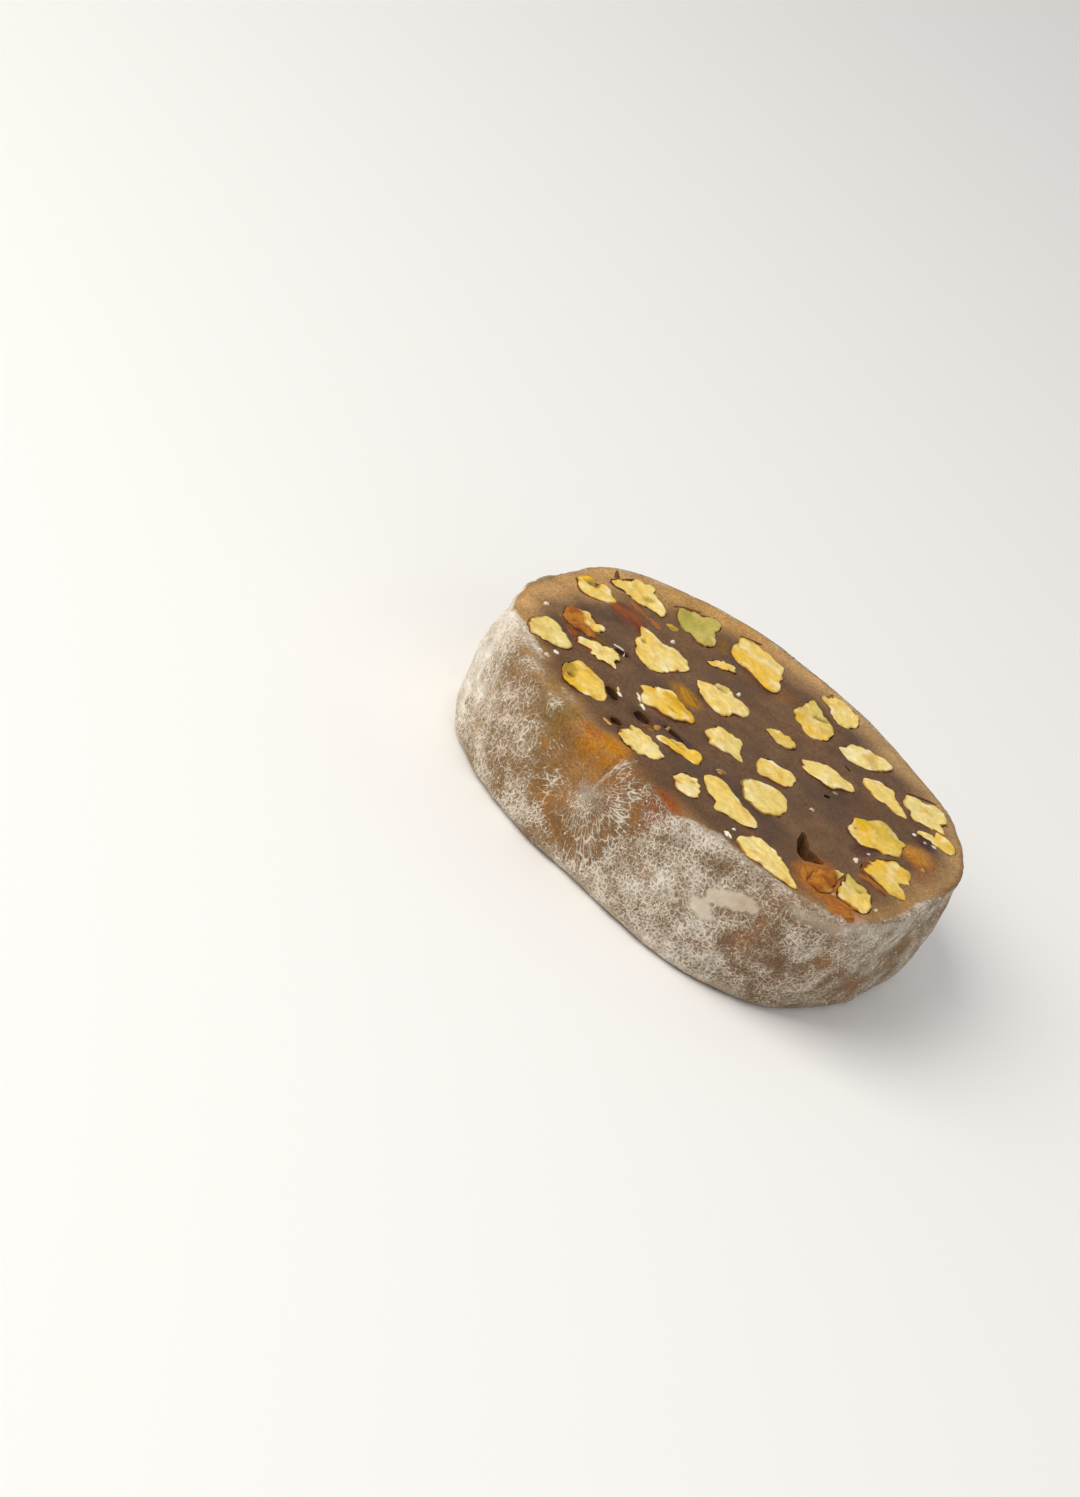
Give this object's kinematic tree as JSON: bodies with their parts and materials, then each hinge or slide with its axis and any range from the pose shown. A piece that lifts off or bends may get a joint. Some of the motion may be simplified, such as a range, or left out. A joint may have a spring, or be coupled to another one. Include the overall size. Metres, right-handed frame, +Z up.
{
  "type": "pistachio turkish delight slice",
  "caption": "Round slice of a starch-dusted jelly roll packed with whole pistachio kernels that the knife cut through, lying flat on one cut face.",
  "frame": {"origin": "on the lower cut face, under the middle of the slice's bounding box", "axes": "+Z up, square to the cut faces; +X along the longest way across the slice"},
  "size_m": [0.0828, 0.0734, 0.021],
  "materials": {
    "jelly": "translucent starch jelly, faintly glossy where cut, matt and white with starch on the rind",
    "kernel_pale": "matt cut nut flesh, pale cream yellow",
    "kernel_yellow": "matt cut nut flesh, strong yellow",
    "kernel_green": "matt cut nut flesh, olive green",
    "kernel_skin": "thin papery nut skin, orange brown, wet with jelly"
  },
  "bodies": {
    "root": {"jelly": "jelly", "kernel_upper_01": "kernel_yellow", "kernel_upper_02": "kernel_pale", "kernel_upper_03": "kernel_green", "kernel_upper_04": "kernel_yellow", "kernel_upper_05": "kernel_yellow", "kernel_upper_06": "kernel_pale", "kernel_upper_07": "kernel_pale", "kernel_upper_08": "kernel_skin", "kernel_upper_09": "kernel_pale", "kernel_upper_10": "kernel_yellow", "kernel_upper_11": "kernel_pale", "kernel_upper_12": "kernel_pale", "kernel_upper_13": "kernel_pale", "kernel_upper_14": "kernel_yellow", "kernel_upper_15": "kernel_yellow", "kernel_upper_16": "kernel_pale", "kernel_upper_17": "kernel_pale", "kernel_upper_18": "kernel_pale", "kernel_upper_19": "kernel_yellow", "kernel_upper_20": "kernel_yellow", "kernel_upper_21": "kernel_pale", "kernel_upper_22": "kernel_yellow", "kernel_upper_23": "kernel_pale", "kernel_upper_24": "kernel_pale", "kernel_upper_25": "kernel_pale", "kernel_upper_26": "kernel_pale", "kernel_upper_27": "kernel_pale", "kernel_upper_28": "kernel_yellow", "kernel_upper_29": "kernel_yellow", "kernel_upper_30": "kernel_pale", "kernel_upper_31": "kernel_skin", "kernel_upper_32": "kernel_pale", "kernel_lower_01": "kernel_pale", "kernel_lower_02": "kernel_pale", "kernel_lower_03": "kernel_pale", "kernel_lower_04": "kernel_pale", "kernel_lower_05": "kernel_yellow", "kernel_lower_06": "kernel_yellow", "kernel_lower_07": "kernel_pale", "kernel_lower_08": "kernel_yellow", "kernel_lower_09": "kernel_pale", "kernel_lower_10": "kernel_pale", "kernel_lower_11": "kernel_pale", "kernel_lower_12": "kernel_pale", "kernel_lower_13": "kernel_pale", "kernel_lower_14": "kernel_yellow", "kernel_lower_15": "kernel_yellow", "kernel_lower_16": "kernel_yellow", "kernel_lower_17": "kernel_yellow", "kernel_lower_18": "kernel_pale", "kernel_lower_19": "kernel_pale", "kernel_lower_20": "kernel_pale", "kernel_lower_21": "kernel_pale", "kernel_lower_22": "kernel_pale", "kernel_lower_23": "kernel_yellow", "kernel_lower_24": "kernel_pale", "kernel_lower_25": "kernel_pale", "kernel_lower_26": "kernel_pale"}
  },
  "joints": []
}
